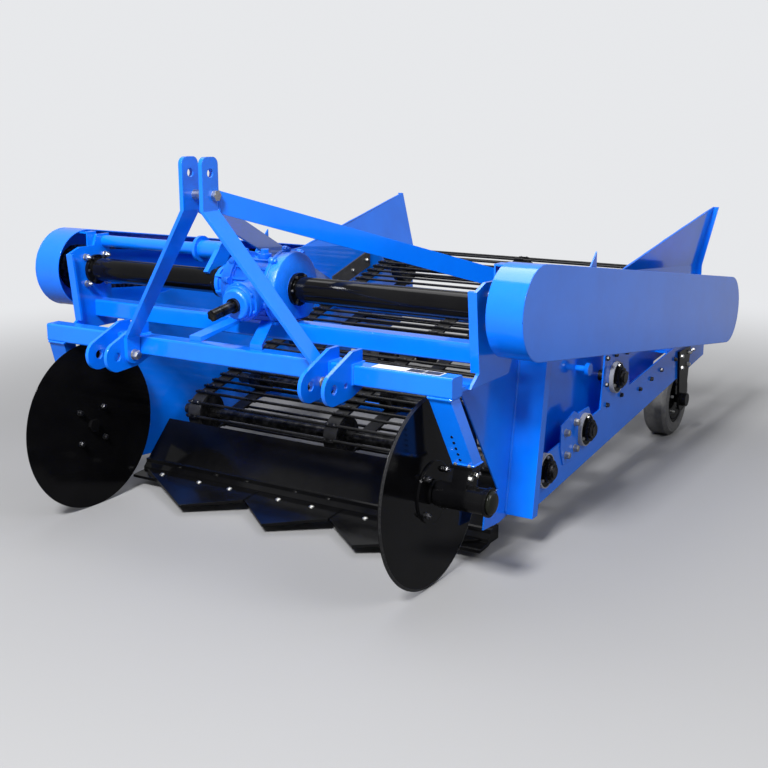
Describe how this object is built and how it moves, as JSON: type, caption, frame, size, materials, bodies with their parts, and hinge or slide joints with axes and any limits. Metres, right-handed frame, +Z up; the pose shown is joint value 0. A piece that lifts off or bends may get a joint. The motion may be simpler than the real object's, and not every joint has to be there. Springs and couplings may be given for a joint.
{
  "type": "potato digger",
  "caption": "Tractor-mounted potato digger: pointed shares lift the ridges, coulter discs cut the sides and a sloping rod web sieves the crop and drops it behind.",
  "frame": {"origin": "on the floor, below the middle of the machine's box", "axes": "+X to the machine's left, +Y to the rear along the direction of travel, +Z up"},
  "size_m": [1.874, 2.5609, 1.228],
  "materials": {
    "blue_paint": "gloss",
    "black_paint": "satin",
    "black_steel": "satin",
    "bright_steel": "satin",
    "housing_grey": "satin",
    "black_rubber": "matte",
    "tyre": "matte"
  },
  "bodies": {
    "frame": {"toolbar": "blue_paint", "mast_spacer": "bright_steel", "rear_beam": "blue_paint", "gearbox": "blue_paint", "gearbox_brace_right": "blue_paint", "input_shaft": "black_steel", "front_roller": "black_steel", "drive_roller": "black_steel", "upper_roller": "black_steel", "lower_roller": "black_steel", "web_belts": "black_rubber", "web_rods": "black_steel", "cross_tubes": "blue_paint", "share_blades": "black_paint", "share_carrier": "black_paint", "hitch_ears_left": "blue_paint", "hitch_ears_right": "blue_paint", "mast_leg_left": "blue_paint", "mast_leg_right": "blue_paint", "stay_left": "blue_paint", "stay_right": "blue_paint", "shaft_bracket_left": "blue_paint", "shaft_bracket_right": "blue_paint", "shaft_tube_left": "black_paint", "shaft_tube_right": "black_paint", "sprockets_left": "black_steel", "sprockets_right": "black_steel", "drive_chain_left": "black_steel", "drive_chain_right": "black_steel", "guard_left": "blue_paint", "guard_right": "blue_paint", "side_sheet_left": "blue_paint", "side_sheet_right": "blue_paint", "front_post_left": "blue_paint", "front_post_right": "blue_paint", "side_rail_left": "blue_paint", "side_rail_right": "blue_paint", "bearings_left": "housing_grey", "bearings_right": "housing_grey", "side_flap_left": "black_rubber", "side_flap_right": "black_rubber", "disc_leg_left": "blue_paint", "disc_leg_right": "blue_paint", "disc_axle_left": "black_paint", "disc_axle_right": "black_paint", "wheel_bracket_left": "black_paint", "wheel_bracket_right": "black_paint"},
    "disc_left": {"disc_left": "black_paint"},
    "disc_right": {"disc_right": "black_paint"},
    "wheel_left": {"wheel_tyre_left": "tyre", "wheel_rim_left": "black_paint"},
    "wheel_right": {"wheel_tyre_right": "tyre", "wheel_rim_right": "black_paint"}
  },
  "joints": [
    {"name": "disc_left_spin", "type": "hinge", "parent": "frame", "child": "disc_left", "pos_m": [0.676, -0.9895, 0.291], "axis": [1, 0, 0], "continuous": true},
    {"name": "disc_right_spin", "type": "hinge", "parent": "frame", "child": "disc_right", "pos_m": [-0.676, -0.9895, 0.291], "axis": [1, 0, 0], "continuous": true},
    {"name": "wheel_left_spin", "type": "hinge", "parent": "frame", "child": "wheel_left", "pos_m": [0.72, 0.9715, 0.157], "axis": [1, 0, 0], "continuous": true},
    {"name": "wheel_right_spin", "type": "hinge", "parent": "frame", "child": "wheel_right", "pos_m": [-0.72, 0.9715, 0.157], "axis": [1, 0, 0], "continuous": true}
  ]
}
